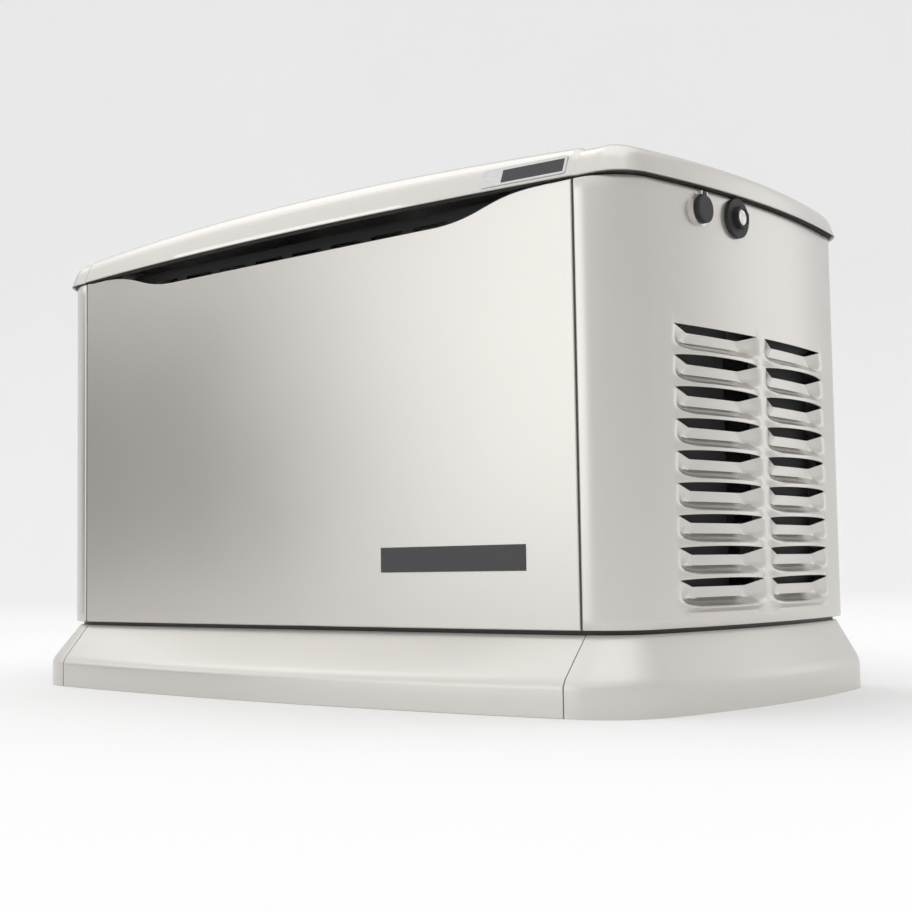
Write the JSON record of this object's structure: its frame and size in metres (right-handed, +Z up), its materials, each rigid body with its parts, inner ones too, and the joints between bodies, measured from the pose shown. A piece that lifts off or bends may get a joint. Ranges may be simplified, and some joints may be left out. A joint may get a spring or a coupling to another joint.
{
  "type": "home standby generator",
  "caption": "Weatherproof home standby generator: hinged lid, pull-off front panel, louvred ends and moulded base fascia around an engine, alternator, battery and controls.",
  "frame": {"origin": "on the floor under the middle of the base fascia", "axes": "+Z up, front panel faces -Y, +X towards the end with the status light"},
  "size_m": [1.2698, 0.727, 0.732],
  "materials": {
    "panel_paint": "satin powder coat",
    "fascia_plastic": "fine texture",
    "tray_paint": "satin powder coat",
    "dark_sheet": "matt",
    "zinc_steel": "zinc plated",
    "bright_ring": "satin",
    "badge_metal": "satin",
    "dark_plate": "satin",
    "black_plastic": "satin",
    "lens_plastic": "gloss",
    "seal_foam": "matt",
    "mount_rubber": "matt",
    "engine_alloy": "cast",
    "iron": "cast",
    "machined_steel": "machined",
    "exhaust_steel": "heat tinted",
    "fan_plastic": "moulded",
    "shroud_paint": "satin",
    "filter_plastic": "moulded",
    "filter_paint": "gloss",
    "copper_iron": "laminated",
    "control_paint": "satin",
    "display_glass": "gloss",
    "key_rubber": "matt",
    "battery_case": "moulded",
    "regulator_alloy": "cast",
    "hose_rubber": "matt",
    "red_plastic": "moulded"
  },
  "bodies": {
    "enclosure": {"base_tray": "tray_paint", "fascia_front": "fascia_plastic", "fascia_rear": "fascia_plastic", "fascia_left": "fascia_plastic", "fascia_right": "fascia_plastic", "right_side_panel": "panel_paint", "left_side_panel": "panel_paint", "back_panel": "panel_paint", "air_inlet_baffle": "dark_sheet", "hinge_fixed_leaves": "panel_paint", "hinge_pins": "zinc_steel", "right_lock_escutcheon": "bright_ring", "left_lock_escutcheon": "bright_ring", "status_light_bezel": "black_plastic", "status_light_lens": "lens_plastic", "partition": "zinc_steel", "vibration_mounts": "mount_rubber", "engine_cradle": "tray_paint", "crankcase": "engine_alloy", "cylinder_barrels": "iron", "cylinder_heads": "engine_alloy", "intake_manifold": "engine_alloy", "air_filter_housing": "filter_plastic", "blower_housing": "shroud_paint", "oil_filter": "filter_paint", "oil_fill_tube": "machined_steel", "starter_motor": "iron", "muffler": "exhaust_steel", "exhaust_pipes": "exhaust_steel", "alternator_stator": "copper_iron", "alternator_bearing": "machined_steel", "alternator_ends": "engine_alloy", "control_box": "control_paint", "control_face": "control_paint", "control_display": "display_glass", "main_breaker": "black_plastic", "battery": "battery_case", "battery_strap": "zinc_steel", "fuel_regulator": "regulator_alloy", "fuel_inlet": "iron", "fuel_hose": "hose_rubber", "panel_screws": "zinc_steel"},
    "lid": {"lid": "panel_paint", "lid_badge": "badge_metal", "lid_seal": "seal_foam", "hinge_lid_leaves": "panel_paint"},
    "front_panel": {"front_panel": "panel_paint", "front_nameplate": "dark_plate"},
    "right_lock_barrel": {"right_lock_barrel": "zinc_steel"},
    "left_lock_barrel": {"left_lock_barrel": "zinc_steel"},
    "right_lock_cap": {"right_lock_cap": "black_plastic"},
    "left_lock_cap": {"left_lock_cap": "black_plastic"},
    "crank_train": {"crankshaft": "machined_steel", "flywheel_fan": "fan_plastic", "alternator_rotor": "copper_iron"},
    "dipstick": {"dipstick": "red_plastic"},
    "breaker_lever": {"breaker_lever": "black_plastic"},
    "key_up": {"key_up": "key_rubber"},
    "key_down": {"key_down": "key_rubber"},
    "key_enter": {"key_enter": "key_rubber"}
  },
  "joints": [
    {"name": "lid_hinge", "type": "hinge", "parent": "enclosure", "child": "lid", "pos_m": [0, 0.3265, 0.673], "axis": [-1, 0, 0], "range_deg": [0, 95]},
    {"name": "front_panel_pull", "type": "slide", "parent": "enclosure", "child": "front_panel", "axis": [0, -1, 0], "range_m": [0, 0.25]},
    {"name": "right_lock_turn", "type": "hinge", "parent": "enclosure", "child": "right_lock_barrel", "pos_m": [0.58, -0.128, 0.644], "axis": [1, 0, 0], "range_deg": [0, 90]},
    {"name": "left_lock_turn", "type": "hinge", "parent": "enclosure", "child": "left_lock_barrel", "pos_m": [-0.58, -0.128, 0.644], "axis": [1, 0, 0], "range_deg": [0, 90]},
    {"name": "right_cap_flip", "type": "hinge", "parent": "enclosure", "child": "right_lock_cap", "pos_m": [0.60158, -0.128, 0.665], "axis": [0, -1, 0], "range_deg": [0, 85]},
    {"name": "left_cap_flip", "type": "hinge", "parent": "enclosure", "child": "left_lock_cap", "pos_m": [-0.60158, -0.128, 0.665], "axis": [0, 1, 0], "range_deg": [0, 85]},
    {"name": "crank_spin", "type": "hinge", "parent": "enclosure", "child": "crank_train", "pos_m": [0, 0.02, 0.25], "axis": [1, 0, 0], "continuous": true},
    {"name": "dipstick_pull", "type": "slide", "parent": "enclosure", "child": "dipstick", "axis": [0, 0, 1], "range_m": [0, 0.15]},
    {"name": "breaker_throw", "type": "hinge", "parent": "enclosure", "child": "breaker_lever", "pos_m": [0.48, -0.11, 0.612], "axis": [-1, 0, 0], "range_deg": [0, 50]},
    {"name": "key_up_press", "type": "slide", "parent": "enclosure", "child": "key_up", "axis": [0, 0, -1], "range_m": [0, 0.003], "stiffness_N_per_m": 300, "springref_m": -0.001},
    {"name": "key_down_press", "type": "slide", "parent": "enclosure", "child": "key_down", "axis": [0, 0, -1], "range_m": [0, 0.003], "stiffness_N_per_m": 300, "springref_m": -0.001},
    {"name": "key_enter_press", "type": "slide", "parent": "enclosure", "child": "key_enter", "axis": [0, 0, -1], "range_m": [0, 0.003], "stiffness_N_per_m": 300, "springref_m": -0.001}
  ]
}
